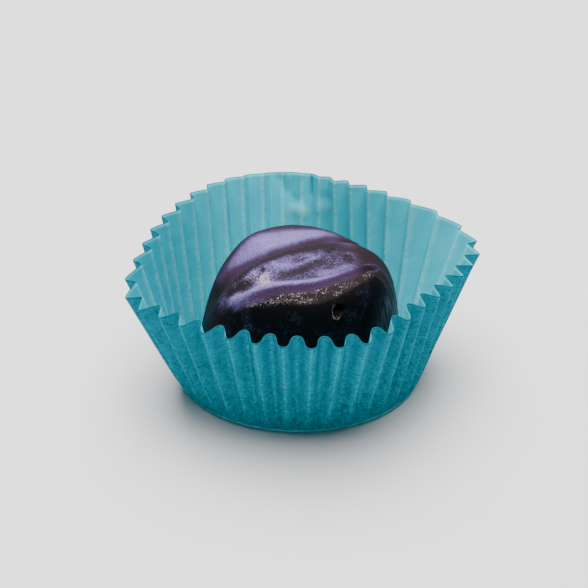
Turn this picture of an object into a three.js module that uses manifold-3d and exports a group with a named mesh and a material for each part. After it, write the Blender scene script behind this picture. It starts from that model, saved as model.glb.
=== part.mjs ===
// A moulded chocolate truffle with a wave-ridged top, standing in its fluted paper case.
//
// Millimetres, +Z up. The origin is the centre of the case's flat base, on the face that stands on
// the table. The front is towards -Y, and +X is to the right of someone who looks at the front.
// Azimuths are in degrees, anticlockwise from +X seen from above.

import * as THREE from 'three';
import Module from 'manifold-3d';
import { mergeVertices } from 'three/addons/utils/BufferGeometryUtils.js';

// ---- Driving dimensions of the paper case ----

const BASE_RADIUS = 16; // of the flat base, out to the fold where the wall begins
const WALL_SLANT = 19.3; // of the wall, measured along the paper from the fold to the rim
const SLANT_SWING = 0.75; // how much longer the wall is towards SLANT_AZIMUTH and opposite it
const SLANT_AZIMUTH = 106;
const PAPER = 0.3; // wall thickness
const FOLD_REACH = 0.9; // how far the rounded fold reaches into the base and up the wall
const PLEATS = 40;
const FIRST_CREST = 201.6; // azimuth of one outer crest, at the base
const PLEAT_FULLNESS = 0.81; // share of the paper's spare width that the pleats take up as depth
const PLEATS_WHOLE = 0.22; // share of the way up the wall where the pleats reach that depth
const CREST_TIGHTNESS = 0.85; // 0 gives a sine wave, and nearly 1 a zigzag with sharp creases

// The wall leans out by turns more and less, so its rim has soft corners. Going round, each entry
// is an azimuth and the lean there from the vertical. Corners and hollows take turns.
const RIM_LEANS = [
  [19, 25],
  [68, 12],
  [98, 24],
  [162, 11.5],
  [209, 24.5],
  [227, 22],
  [286, 25.5],
  [328, 15.5],
];
const CORNER_SHARPNESS = 1.6;

// Handling has pushed the pleats round the rim. Entry n is a wave with n + 1 periods to the turn:
// its size in degrees, and an azimuth where it crosses zero.
const RIM_DRIFT = [
  [1.1, 282],
  [5.3, 0],
  [1.3, 23],
];

// At the back a few pleats are pressed flat towards the rim.
const PRESSED_AZIMUTH = 90;
const PRESSED_HALF_WIDTH = 11;
const PRESSED_SHARE = 0.7;

// ---- Driving dimensions of the truffle ----

const TRUFFLE_CENTRE = new THREE.Vector2(-0.5, 0.4);
const TRUFFLE_HEIGHT = 17.8;
const TRUFFLE_RIGHT = 13.8; // reaches of the outline from the centre
const TRUFFLE_BACK = 11.6;
const TRUFFLE_LEFT = 13.1;
const TRUFFLE_FRONT = 13.7;
const OUTLINE_SQUARENESS = 2.15; // 2 is an ellipse, and more is squarer

// How square the shoulder between side and top is: 2 is round, and more is squarer. The values go
// round anticlockwise, an eighth of a turn apart, from the right.
const SHOULDERS = [4.1, 3.7, 3.5, 3.3, 2.15, 3, 5.6, 6.5];
const FOOT_ROUNDING = 0.6; // radius of the truffle's bottom edge
const GAP = 0.3; // left between the truffle and the paper that it stands on

// The top's folds meet at the left front and fan out to the right. Each line is given in plan, from
// left to right, and a fold's height is measured across it.
const BACK_RIDGE = [[-10.7, 1.6], [-5, 5.3], [0.8, 8.5], [6.7, 9.6]];
const BACK_GROOVE = [[-9.5, -1.8], [-5, -0.3], [0, 2.2], [6.5, 4.8]];
const FRONT_CREST = [[-9.5, -7], [-2.5, -9.1], [4.6, -7.4], [9.5, -3]];
const MIDDLE_STREAK = [[-4.4, -7.1], [0.1, -4.9], [4.7, -0.6]];
const RIDGE = { height: 1, width: 1.8 };
const GROOVE = { depth: 0.8, width: 1.2 };
const SWELL = { height: 0.3, width: 1.3, beforeGroove: 3.2 };
const STREAK = { depth: 0.3, width: 0.9 };
const CREST = { height: 0.5, width: 0.9 };
const FOLDS_START = 28; // angles round the shoulder where the folds begin, and are whole
const FOLDS_FULL = 46;

// A burst air bubble, just below the front edge of the top.
const BUBBLE = { azimuth: -65, climb: 42, radius: 0.8, sink: 0.25 };

// ---- How finely the curved faces are divided ----

const COLUMNS_PER_PLEAT = 6;
const WALL_ROWS = 6;
const FOLD_ROWS = 2;
const TRUFFLE_COLUMNS = 90;
const TRUFFLE_ROWS = 20;
const FOOT_ROWS = 2;

const DEGREE = Math.PI / 180;

const PAPER_FINISH = new THREE.MeshStandardMaterial({
  color: 0x1f93a4,
  roughness: 0.8,
  metalness: 0,
  side: THREE.DoubleSide,
});
const CHOCOLATE_FINISH = new THREE.MeshStandardMaterial({
  color: 0x4a3b52,
  roughness: 0.4,
  metalness: 0.2,
});

// ---- Helpers ----

/** A closed mesh from a list of points and a list of triangles. */
function solid(name, points, triangles, material) {
  const geometry = new THREE.BufferGeometry().setFromPoints(points);
  geometry.setIndex(triangles.flat());
  geometry.computeVertexNormals();
  const mesh = new THREE.Mesh(geometry, material);
  mesh.name = name;
  return mesh;
}

/** Triangles between two rings of points, facing away from the axis when the second ring is above. */
function band(lower, upper, count) {
  const triangles = [];
  for (let i = 0; i < count; i += 1) {
    const next = (i + 1) % count;
    triangles.push([lower + i, lower + next, upper + next]);
    triangles.push([lower + i, upper + next, upper + i]);
  }
  return triangles;
}

/** Triangles from a ring of points to one point above it, facing up. */
function lid(ring, centre, count) {
  const triangles = [];
  for (let i = 0; i < count; i += 1) {
    triangles.push([ring + i, ring + ((i + 1) % count), centre]);
  }
  return triangles;
}

/** The same triangles, facing the other way. */
function turned(triangles) {
  return triangles.map(([a, b, c]) => [a, c, b]);
}

/** 0 below the first value, 1 above the second, and smooth between. */
function smoothStep(from, to, value) {
  const share = THREE.MathUtils.clamp((value - from) / (to - from), 0, 1);
  return share * share * (3 - 2 * share);
}

/** A bell of height 1 and the given half width at 1/e. */
function bell(distance, width) {
  return Math.exp(-((distance / width) ** 2));
}

/** Y at x of the smooth curve through a few points: Lagrange's polynomial. */
function curveThrough(points, x) {
  let y = 0;
  for (const [hereX, hereY] of points) {
    const others = points.filter(([otherX]) => otherX !== hereX);
    y += others.reduce((product, [otherX]) => (product * (x - otherX)) / (hereX - otherX), hereY);
  }
  return y;
}

// ---- Paper case ----

/** Lean of the wall from the vertical, in radians, at an azimuth. */
function wallLean(azimuth) {
  const turn = 360;
  const last = RIM_LEANS.length - 1;
  const angle = THREE.MathUtils.euclideanModulo(azimuth - RIM_LEANS[0][0], turn) + RIM_LEANS[0][0];
  const i = RIM_LEANS.findLastIndex(([start]) => start <= angle);
  const [start, startLean] = RIM_LEANS[i];
  const [nextStart, endLean] = RIM_LEANS[i === last ? 0 : i + 1];
  const end = i === last ? nextStart + turn : nextStart;
  const rise = 0.5 - 0.5 * Math.cos((Math.PI * (angle - start)) / (end - start));
  const cornerFirst = startLean > endLean;
  const corner = (cornerFirst ? 1 - rise : rise) ** CORNER_SHARPNESS;
  const hollowLean = Math.min(startLean, endLean);
  return DEGREE * (hollowLean + corner * Math.abs(startLean - endLean));
}

/** Length of the wall along the paper, at an azimuth. */
function wallSlant(azimuth) {
  return WALL_SLANT + SLANT_SWING * Math.cos(2 * DEGREE * (azimuth - SLANT_AZIMUTH));
}

/** How far round the rim a pleat has been pushed, in degrees, by its azimuth at the base. */
function rimDrift(azimuth) {
  return RIM_DRIFT.reduce(
    (sum, [size, zero], i) => sum + size * Math.sin((i + 1) * DEGREE * (azimuth - zero)),
    0,
  );
}

/** 1 at an outer crest and -1 at an inner one: a zigzag with rounded creases. */
function pleatWave(turns) {
  return Math.asin(CREST_TIGHTNESS * Math.cos(2 * Math.PI * turns)) / Math.asin(CREST_TIGHTNESS);
}

/** Share of the pleats' depth: none at the fold, and less where the back is pressed flat. */
function pleatShare(azimuth, climb) {
  const pressed = bell(azimuth - PRESSED_AZIMUTH, PRESSED_HALF_WIDTH) * climb ** 1.5;
  return smoothStep(0, PLEATS_WHOLE, climb) * (1 - PRESSED_SHARE * pressed);
}

/**
 * The middle of the paper. turns counts pleats from the first crest, and climb is 0 at the fold
 * and 1 at the rim. The wall was a flat disc, so what its circles lose in girth becomes depth of
 * pleat, and every line up the wall keeps its length.
 */
function paperPoint(turns, climb) {
  const baseAzimuth = FIRST_CREST + (360 * turns) / PLEATS;
  const rimAzimuth = THREE.MathUtils.euclideanModulo(baseAzimuth + rimDrift(baseAzimuth), 360);
  const slant = wallSlant(rimAzimuth);
  const lean = wallLean(rimAzimuth);
  const along = slant * climb;
  const middle = BASE_RADIUS + along * Math.sin(lean);
  const spare = Math.sqrt((BASE_RADIUS + along) ** 2 - middle ** 2);
  const depth = (PLEAT_FULLNESS * pleatShare(rimAzimuth, climb) * Math.PI * spare) / PLEATS;
  const out = middle - BASE_RADIUS + (depth / 2) * pleatWave(turns);
  const radius = BASE_RADIUS + out;
  const rimRadius = BASE_RADIUS + slant * Math.sin(lean);
  const azimuth = DEGREE * (baseAzimuth + (rimDrift(baseAzimuth) * climb * rimRadius) / radius);
  const height = Math.sqrt(Math.max(along ** 2 - out ** 2, 0));
  return new THREE.Vector3(radius * Math.cos(azimuth), radius * Math.sin(azimuth), PAPER / 2 + height);
}

/** A point in the fold between base and wall: 0 is on the base, and 1 on the wall. */
function foldPoint(turns, share) {
  const onWall = paperPoint(turns, FOLD_REACH / WALL_SLANT);
  const azimuth = DEGREE * (FIRST_CREST + (360 * turns) / PLEATS);
  const away = new THREE.Vector3(Math.cos(azimuth), Math.sin(azimuth), 0);
  const corner = away.clone().multiplyScalar(BASE_RADIUS).setZ(PAPER / 2);
  const onBase = away.clone().multiplyScalar(BASE_RADIUS - FOLD_REACH).setZ(PAPER / 2);
  return new THREE.QuadraticBezierCurve3(onBase, corner, onWall).getPoint(share);
}

/** Rings of points in the middle of the paper, from the edge of the base up to the rim. */
function paperRings() {
  const columns = PLEATS * COLUMNS_PER_PLEAT;
  const startOfWall = FOLD_REACH / WALL_SLANT;
  const ring = (point) => Array.from({ length: columns }, (_, i) => point(i / COLUMNS_PER_PLEAT));
  const rings = [];
  for (let row = 0; row < FOLD_ROWS; row += 1) {
    rings.push(ring((turns) => foldPoint(turns, row / FOLD_ROWS)));
  }
  for (let row = 0; row <= WALL_ROWS; row += 1) {
    const climb = startOfWall + (1 - startOfWall) * (row / WALL_ROWS);
    rings.push(ring((turns) => paperPoint(turns, climb)));
  }
  return rings;
}

/** Directions square to the paper and away from the inside, one for each point of the rings. */
function outwardDirections(rings) {
  return rings.map((ring, row) =>
    ring.map((_, i) => {
      if (row === 0) {
        return new THREE.Vector3(0, 0, -1);
      }
      const count = ring.length;
      const round = ring[(i + 1) % count].clone().sub(ring[(i + count - 1) % count]);
      const above = rings[Math.min(row + 1, rings.length - 1)][i];
      const up = above.clone().sub(rings[row - 1][i]);
      return round.cross(up).normalize();
    }),
  );
}

/** The case: a pleated wall that stands on a flat round base, all of one sheet. */
function paperCase() {
  const rings = paperRings();
  const outward = outwardDirections(rings);
  const columns = PLEATS * COLUMNS_PER_PLEAT;
  const points = [];
  const triangles = [];
  const skinStart = [];
  for (const side of [1, -1]) {
    skinStart.push(points.length);
    rings.forEach((ring, row) => {
      ring.forEach((point, i) => {
        points.push(point.clone().addScaledVector(outward[row][i], (side * PAPER) / 2));
      });
    });
  }
  const [outer, inner] = skinStart;
  for (let row = 0; row + 1 < rings.length; row += 1) {
    const here = row * columns;
    triangles.push(...band(outer + here, outer + here + columns, columns));
    triangles.push(...turned(band(inner + here, inner + here + columns, columns)));
  }
  const rim = (rings.length - 1) * columns;
  triangles.push(...band(outer + rim, inner + rim, columns));
  const underside = points.push(new THREE.Vector3(0, 0, 0)) - 1;
  const floor = points.push(new THREE.Vector3(0, 0, PAPER)) - 1;
  triangles.push(...turned(lid(outer, underside, columns)));
  triangles.push(...lid(inner, floor, columns));
  return solid('paper_case', points, triangles, PAPER_FINISH);
}

// ---- Truffle ----

/** A value that runs smoothly round a ring of given ones, which are spread evenly from azimuth 0. */
function roundTheRing(values, azimuth) {
  const place = THREE.MathUtils.euclideanModulo(azimuth / (2 * Math.PI), 1) * values.length;
  const before = Math.floor(place) % values.length;
  const after = (before + 1) % values.length;
  const share = 0.5 - 0.5 * Math.cos(Math.PI * (place - Math.floor(place)));
  return values[before] + (values[after] - values[before]) * share;
}

/** Distance of the truffle's outline from its centre. */
function outlineReach(azimuth) {
  const x = Math.cos(azimuth) / (Math.cos(azimuth) > 0 ? TRUFFLE_RIGHT : TRUFFLE_LEFT);
  const y = Math.sin(azimuth) / (Math.sin(azimuth) > 0 ? TRUFFLE_BACK : TRUFFLE_FRONT);
  const power = OUTLINE_SQUARENESS;
  return (Math.abs(x) ** power + Math.abs(y) ** power) ** (-1 / power);
}

/** Height of the top's folds above the plain dome, at a place in plan. */
function foldHeight(x, y) {
  const fromRidge = y - curveThrough(BACK_RIDGE, x);
  const fromGroove = y - curveThrough(BACK_GROOVE, x);
  const fromCrest = y - curveThrough(FRONT_CREST, x);
  const fromStreak = y - curveThrough(MIDDLE_STREAK, x);
  const streakEnds = smoothStep(-6, -2, x) * (1 - smoothStep(3, 6, x));
  return (
    RIDGE.height * bell(fromRidge, RIDGE.width) -
    GROOVE.depth * bell(fromGroove, GROOVE.width) +
    SWELL.height * bell(fromGroove + SWELL.beforeGroove, SWELL.width) -
    STREAK.depth * bell(fromStreak, STREAK.width) * streakEnds +
    CREST.height * bell(fromCrest, CREST.width)
  );
}

/** A point of the dome. climb is the angle from the table seen from the middle of its foot. */
function domePoint(azimuth, climb) {
  const power = roundTheRing(SHOULDERS, azimuth);
  const reach = (Math.cos(climb) ** power + Math.sin(climb) ** power) ** (-1 / power);
  const radius = outlineReach(azimuth) * reach * Math.cos(climb);
  const x = TRUFFLE_CENTRE.x + radius * Math.cos(azimuth);
  const y = TRUFFLE_CENTRE.y + radius * Math.sin(azimuth);
  const folds = foldHeight(x, y) * smoothStep(FOLDS_START, FOLDS_FULL, climb / DEGREE);
  return new THREE.Vector3(x, y, PAPER + GAP + TRUFFLE_HEIGHT * reach * Math.sin(climb) + folds);
}

/** A point of the rounded bottom edge: 0 is on the foot, and 1 on the side. */
function footPoint(azimuth, share) {
  const turn = (share * Math.PI) / 2;
  const radius = outlineReach(azimuth) - FOOT_ROUNDING * (1 - Math.sin(turn));
  const x = TRUFFLE_CENTRE.x + radius * Math.cos(azimuth);
  const y = TRUFFLE_CENTRE.y + radius * Math.sin(azimuth);
  return new THREE.Vector3(x, y, PAPER + GAP + FOOT_ROUNDING * (1 - Math.cos(turn)));
}

/** The truffle without its burst bubble: a dome with a flat foot. */
function dome() {
  const ring = (point) =>
    Array.from({ length: TRUFFLE_COLUMNS }, (_, i) => point((2 * Math.PI * i) / TRUFFLE_COLUMNS));
  const points = [];
  const triangles = [];
  let rings = 0;
  const add = (point) => {
    points.push(...ring(point));
    if (rings > 0) {
      triangles.push(...band((rings - 1) * TRUFFLE_COLUMNS, rings * TRUFFLE_COLUMNS, TRUFFLE_COLUMNS));
    }
    rings += 1;
  };
  for (let row = 0; row <= FOOT_ROWS; row += 1) {
    add((azimuth) => footPoint(azimuth, row / FOOT_ROWS));
  }
  for (let row = 1; row < TRUFFLE_ROWS; row += 1) {
    add((azimuth) => domePoint(azimuth, (row / TRUFFLE_ROWS) * (Math.PI / 2)));
  }
  const foot = points.push(new THREE.Vector3(TRUFFLE_CENTRE.x, TRUFFLE_CENTRE.y, PAPER + GAP)) - 1;
  const crown = points.push(domePoint(0, Math.PI / 2)) - 1;
  triangles.push(...turned(lid(0, foot, TRUFFLE_COLUMNS)));
  triangles.push(...lid((rings - 1) * TRUFFLE_COLUMNS, crown, TRUFFLE_COLUMNS));
  return solid('truffle', points, triangles, CHOCOLATE_FINISH);
}

/** A ball that stands for the air that was in the burst bubble. */
function bubble() {
  const azimuth = BUBBLE.azimuth * DEGREE;
  const centre = domePoint(azimuth, BUBBLE.climb * DEGREE);
  const away = new THREE.Vector3(Math.cos(azimuth), Math.sin(azimuth), 0);
  const geometry = new THREE.IcosahedronGeometry(BUBBLE.radius, 1);
  const mesh = new THREE.Mesh(geometry);
  mesh.position.copy(centre).addScaledVector(away, -BUBBLE.sink);
  return mesh;
}

/** A mesh as a solid of the boolean library. */
function toManifold(wasm, mesh) {
  mesh.updateMatrix();
  let geometry = mesh.geometry.clone().applyMatrix4(mesh.matrix);
  geometry.deleteAttribute('normal');
  geometry.deleteAttribute('uv');
  geometry = mergeVertices(geometry);
  return new wasm.Manifold(
    new wasm.Mesh({
      numProp: 3,
      vertProperties: new Float32Array(geometry.attributes.position.array),
      triVerts: new Uint32Array(geometry.index.array),
    }),
  );
}

/** The truffle: the dome with the burst bubble taken out of its front. */
async function truffle() {
  const wasm = await Module();
  wasm.setup();
  const whole = dome();
  const cut = toManifold(wasm, whole).subtract(toManifold(wasm, bubble())).getMesh();
  const geometry = new THREE.BufferGeometry();
  geometry.setAttribute('position', new THREE.Float32BufferAttribute(cut.vertProperties, 3));
  geometry.setIndex(Array.from(cut.triVerts));
  geometry.computeVertexNormals();
  whole.geometry = geometry;
  return whole;
}

const group = new THREE.Group();
group.add(paperCase());
group.add(await truffle());

export default group;
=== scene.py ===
"""A moulded chocolate truffle in its fluted paper case: fine surfaces, finishes, light and camera.

Sizes are in millimetres and become metres when a mesh is made. Azimuths are in degrees,
anticlockwise from +X seen from above. The front is towards -Y.
"""

import logging
from dataclasses import dataclass, field
from enum import Enum
from typing import Callable

import bpy
import numpy as np
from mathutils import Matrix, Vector


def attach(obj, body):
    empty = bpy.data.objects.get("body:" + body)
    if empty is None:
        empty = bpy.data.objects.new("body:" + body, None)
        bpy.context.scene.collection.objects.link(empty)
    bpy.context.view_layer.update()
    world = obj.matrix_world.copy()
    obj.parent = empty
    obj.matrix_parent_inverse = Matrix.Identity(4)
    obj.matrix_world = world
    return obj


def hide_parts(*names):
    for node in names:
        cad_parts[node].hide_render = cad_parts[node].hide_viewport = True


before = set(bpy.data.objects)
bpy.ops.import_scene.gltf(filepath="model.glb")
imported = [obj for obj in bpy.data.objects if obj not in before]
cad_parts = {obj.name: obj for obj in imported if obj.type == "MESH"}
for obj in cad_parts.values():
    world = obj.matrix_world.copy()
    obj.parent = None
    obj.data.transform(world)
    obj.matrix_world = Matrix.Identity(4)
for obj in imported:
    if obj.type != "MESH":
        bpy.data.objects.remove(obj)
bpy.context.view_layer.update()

log = logging.getLogger("truffle")

MM = 0.001
Colour = tuple[float, float, float]
Span = tuple[float, float]
Pairs = tuple[tuple[float, float], ...]
Line = Pairs


# ---- Shader nodes as expressions ----


class Maths(Enum):
    """What a Math node does with its values."""

    ADD = "ADD"
    SUBTRACT = "SUBTRACT"
    MULTIPLY = "MULTIPLY"
    POWER = "POWER"
    LARGER = "MAXIMUM"
    SIZE = "ABSOLUTE"


class Socket:
    """An output of a node, which takes part in arithmetic by adding Math nodes."""

    def __init__(self, tree: "NodeTree", output: bpy.types.NodeSocket) -> None:
        """Keep the output and the tree that it belongs to."""
        self.tree = tree
        self.output = output

    def _maths(self, operation: Maths, *values: "Socket | float") -> "Socket":
        """The result of one Math node."""
        settings = {"operation": operation.value}
        return self.tree.node("ShaderNodeMath", settings, dict(enumerate(values)))

    def __add__(self, other: "Socket | float") -> "Socket":
        """This value and the other, added."""
        return self._maths(Maths.ADD, self, other)

    __radd__ = __add__

    def __sub__(self, other: "Socket | float") -> "Socket":
        """This value less the other."""
        return self._maths(Maths.SUBTRACT, self, other)

    def __rsub__(self, other: "Socket | float") -> "Socket":
        """The other value less this one."""
        return self._maths(Maths.SUBTRACT, other, self)

    def __mul__(self, other: "Socket | float") -> "Socket":
        """This value times the other."""
        return self._maths(Maths.MULTIPLY, self, other)

    __rmul__ = __mul__

    def __pow__(self, power: float) -> "Socket":
        """This value to a power."""
        return self._maths(Maths.POWER, self, power)

    def at_least(self, other: "Socket | float") -> "Socket":
        """The larger of this value and the other."""
        return self._maths(Maths.LARGER, self, other)

    def size(self) -> "Socket":
        """This value without its sign."""
        return self._maths(Maths.SIZE, self)

    def rise(self, start: float, end: float) -> "Socket":
        """0 before start, 1 after end, and smooth between them. End may be below start.

        Args:
            start: The value at which the rise begins.
            end: The value at which it is whole.

        Returns:
            The rise as a mask.
        """
        low, high = min(start, end), max(start, end)
        step = self.tree.node(
            "ShaderNodeMapRange",
            {"interpolation_type": "SMOOTHSTEP"},
            {"Value": self, "From Min": low, "From Max": high},
        )
        return step if start < end else 1 - step


Input = Socket | float | Colour | tuple[float, ...]


class NodeTree:
    """The nodes of one material."""

    def __init__(self, name: str) -> None:
        """Make an empty material.

        Args:
            name: The material's name.
        """
        self.material = bpy.data.materials.new(name)
        self.material.use_nodes = True
        self.nodes = self.material.node_tree.nodes
        self.links = self.material.node_tree.links
        self.nodes.clear()

    def node(
        self,
        kind: str,
        settings: dict[str, object] | None = None,
        inputs: dict[str | int, Input] | None = None,
        output: str | int = 0,
    ) -> Socket:
        """Add a node: its settings first, then the values or links of its sockets.

        Args:
            kind: The node's type.
            settings: Properties of the node, such as a Math node's operation.
            inputs: A value or a socket for each named or numbered input.
            output: Which output to return.

        Returns:
            That output.
        """
        made = self.nodes.new(kind)
        for key, value in (settings or {}).items():
            setattr(made, key, value)
        for key, value in (inputs or {}).items():
            if isinstance(value, Socket):
                self.links.new(value.output, made.inputs[key])
            elif isinstance(value, tuple) and len(value) == 3 and made.inputs[key].type == "RGBA":
                made.inputs[key].default_value = (*value, 1)
            else:
                made.inputs[key].default_value = value
        return Socket(self, made.outputs[output])

    def place(self) -> Socket:
        """Position on the piece, in metres."""
        return self.node("ShaderNodeTexCoord", output="Object")

    def attribute(self, name: str, output: str = "Fac") -> Socket:
        """A number that the mesh holds at each of its points, or a place as its Vector."""
        return self.node("ShaderNodeAttribute", {"attribute_name": name}, output=output)

    def stretched(self, place: Socket, scale: tuple[float, float, float]) -> Socket:
        """A position scaled by a different amount along each axis."""
        settings = {"operation": "MULTIPLY"}
        return self.node("ShaderNodeVectorMath", settings, {0: place, 1: scale})

    def noise(
        self,
        place: Socket,
        grain: float,
        detail: float = 3,
        roughness: float = 0.5,
        swirl: float = 0,
    ) -> Socket:
        """Noise between 0 and 1.

        Args:
            place: Where to read it, in metres.
            grain: Size of its largest features, in millimetres.
            detail: How many finer layers are added.
            roughness: How strong the finer layers are.
            swirl: How far the features are dragged out of shape.

        Returns:
            The noise's value.
        """
        inputs = {
            "Vector": place,
            "Scale": 1 / (grain * MM),
            "Detail": detail,
            "Roughness": roughness,
            "Distortion": swirl,
        }
        return self.node("ShaderNodeTexNoise", {"noise_dimensions": "3D"}, inputs)

    def cells(self, place: Socket, grain: float) -> Socket:
        """A random shade for each of many small cells, whose width in millimetres is the grain."""
        inputs = {"Vector": place, "Scale": 1 / (grain * MM)}
        return self.node("ShaderNodeTexVoronoi", None, inputs, "Color")

    def blend(self, share: Socket | float, first: Input, second: Input) -> Socket:
        """A colour between two.

        Args:
            share: How much of the second there is, from 0 to 1.
            first: The colour where share is 0.
            second: The colour where share is 1.

        Returns:
            The blended colour.
        """
        mix = self.nodes.new("ShaderNodeMix")
        mix.data_type = "RGBA"
        for key, value in (("Factor_Float", share), ("A_Color", first), ("B_Color", second)):
            socket = next(s for s in mix.inputs if s.identifier == key)
            if isinstance(value, Socket):
                self.links.new(value.output, socket)
            else:
                socket.default_value = value if key == "Factor_Float" else (*value, 1)
        return Socket(self, next(s for s in mix.outputs if s.identifier == "Result_Color"))

    def bump(self, height: Socket, depth: float) -> Socket:
        """A normal tilted by a height, of which 1 stands for a depth in millimetres."""
        inputs = {"Height": height, "Distance": depth * MM, "Strength": 1.0}
        return self.node("ShaderNodeBump", None, inputs)

    def surface(self, shader: Socket) -> None:
        """Let a shader be the material's surface."""
        end = self.nodes.new("ShaderNodeOutputMaterial")
        self.links.new(shader.output, end.inputs["Surface"])


# ---- Curves and meshes ----


def bell(distance: np.ndarray, width: float) -> np.ndarray:
    """A bell of height 1: e to the power of minus the square of distance over width."""
    return np.exp(-((distance / width) ** 2))


def smooth_rise(start: float, end: float, value: np.ndarray) -> np.ndarray:
    """0 before start, 1 after end, and 3 t squared less 2 t cubed between, also where end is lower."""
    share = np.clip((value - start) / (end - start), 0, 1)
    return share * share * (3 - 2 * share)


def curve_through(points: Line, x: np.ndarray) -> np.ndarray:
    """Y at x of the smooth curve through a few points: Lagrange's polynomial.

    Args:
        points: The points, from left to right.
        x: Where to read the curve. Past its ends it keeps the end's value.

    Returns:
        The curve's y at each x.
    """
    within = np.clip(x, points[0][0], points[-1][0])
    y = np.zeros_like(within)
    for here_x, here_y in points:
        share = np.full_like(within, here_y)
        for other_x, _ in points:
            if other_x != here_x:
                share = share * (within - other_x) / (here_x - other_x)
        y += share
    return y


def grid_faces(rows: int, columns: int, start: int = 0) -> np.ndarray:
    """Quads of a grid that closes on itself round its columns.

    Args:
        rows: Rings of points.
        columns: Points in each ring.
        start: Number of the first point.

    Returns:
        Four point numbers a quad, which face away from the axis when later rings are higher.
    """
    ring, column = np.meshgrid(np.arange(rows - 1), np.arange(columns), indexing="ij")
    onward = (column + 1) % columns
    corners = [
        ring * columns + column,
        ring * columns + onward,
        (ring + 1) * columns + onward,
        (ring + 1) * columns + column,
    ]
    return start + np.stack(corners, -1).reshape(-1, 4)


def cap_faces(columns: int, ring: int, centre: int) -> np.ndarray:
    """Triangles from a ring of points to one point, facing up when the ring is anticlockwise."""
    column = np.arange(columns)
    return np.stack([ring + column, ring + (column + 1) % columns, np.full(columns, centre)], -1)


def unit(vectors: np.ndarray) -> np.ndarray:
    """The same directions with length 1."""
    return vectors / np.linalg.norm(vectors, axis=-1, keepdims=True)


def mesh_piece(
    name: str,
    points: np.ndarray,
    faces: list[np.ndarray],
    attributes: dict[str, np.ndarray],
    material: bpy.types.Material,
) -> bpy.types.Object:
    """An object from points and faces, smooth shaded, at the origin.

    Args:
        name: The object's name.
        points: One point a row, in millimetres.
        faces: Arrays of quads or of triangles.
        attributes: Numbers, or places, to keep at the points, by name.
        material: The finish.

    Returns:
        The object, linked to the scene.
    """
    mesh = bpy.data.meshes.new(name)
    mesh.from_pydata(points * MM, [], [face for part in faces for face in part.tolist()])
    mesh.polygons.foreach_set("use_smooth", np.ones(len(mesh.polygons), bool))
    for key, values in attributes.items():
        kind, part = ("FLOAT", "value") if values.ndim == 1 else ("FLOAT_VECTOR", "vector")
        kept = mesh.attributes.new(key, kind, "POINT")
        kept.data.foreach_set(part, values.astype(np.float32).ravel())
    mesh.materials.append(material)
    mesh.validate()
    piece = bpy.data.objects.new(name, mesh)
    bpy.context.scene.collection.objects.link(piece)
    return piece


# ---- Marks along lines ----


@dataclass(frozen=True)
class Stroke:
    """A soft mark or a small fold along a line, in plan or on a wall laid flat.

    The line joins a few points. The mark is full on it, and falls off across it as a bell of the
    given half width. Towards the line's ends it fades over the share given as taper, and the fade
    begins a little beyond them, so that an end keeps some of its strength.
    """

    line: Line
    width: float
    strength: float = 1
    taper: float = 0.15
    samples: int = 60
    fade_start: float = -0.3

    def cover(self, x: np.ndarray, y: np.ndarray) -> np.ndarray:
        """How strong the stroke is at places in plan.

        Args:
            x: The places' x.
            y: The places' y.

        Returns:
            The strength there.
        """
        points = np.array(self.line, float)
        steps = np.hypot(*np.diff(points, axis=0).T)
        along = np.concatenate([[0], np.cumsum(steps)]) / steps.sum()
        share = np.linspace(0, 1, self.samples)
        path = np.stack([np.interp(share, along, points[:, axis]) for axis in (0, 1)], -1)
        ends = np.minimum(share, 1 - share)
        fade = np.ones_like(share)
        if self.taper:
            fade = smooth_rise(self.fade_start, 1, ends / self.taper)
        cover = np.zeros_like(x)
        for (px, py), weight in zip(path, fade):
            distance = np.hypot(x - px, y - py)
            cover = np.maximum(cover, bell(distance, self.width) * weight)
        return self.strength * cover


def strokes(marks: tuple[Stroke, ...], x: np.ndarray, y: np.ndarray) -> np.ndarray:
    """The strength of several strokes at each place, added up."""
    return np.sum([mark.cover(x, y) for mark in marks], axis=0)


def glow(line: Line, shape: tuple[float, float, float], x: np.ndarray, y: np.ndarray) -> np.ndarray:
    """A soft band that runs along a line in plan: a bell across it.

    Args:
        line: The line, from left to right.
        shape: The band's strength, its distance in front of the line, and its width.
        x: The places' x.
        y: The places' y.

    Returns:
        The strength there.
    """
    strength, before, width = shape
    return strength * bell(y - curve_through(line, x) + before, width)


@dataclass(frozen=True)
class Zone:
    """A stretch of the top, between two lines in plan and between two ends.

    A span gives where the zone's mask begins to rise and where it is whole: in y, measured from the
    line in front or from the line at the back, or in x at the left or right end. Faint is the share
    that is left past the right end.
    """

    front: Line
    front_span: Span
    back: Line
    back_span: Span
    left_span: Span | None = None
    right_span: Span | None = None
    faint: float = 0

    def cover(self, x: np.ndarray, y: np.ndarray) -> np.ndarray:
        """The zone's mask at places in plan: smooth rises, multiplied.

        Args:
            x: The places' x.
            y: The places' y.

        Returns:
            The mask.
        """
        cover = smooth_rise(*self.front_span, y - curve_through(self.front, x))
        cover = cover * smooth_rise(*self.back_span, y - curve_through(self.back, x))
        if self.right_span:
            cover = cover * (self.faint + (1 - self.faint) * smooth_rise(*self.right_span, x))
        if self.left_span:
            cover = cover * smooth_rise(*self.left_span, x)
        return cover


# ---- Paper case ----


@dataclass(frozen=True)
class PaperGrain:
    """What both faces of the paper read: a place, how high up it is, and noises."""

    place: Socket
    climb: Socket
    low: Socket
    cloud: Socket
    mottle: Socket
    crepe: Socket
    strands: Socket


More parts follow.
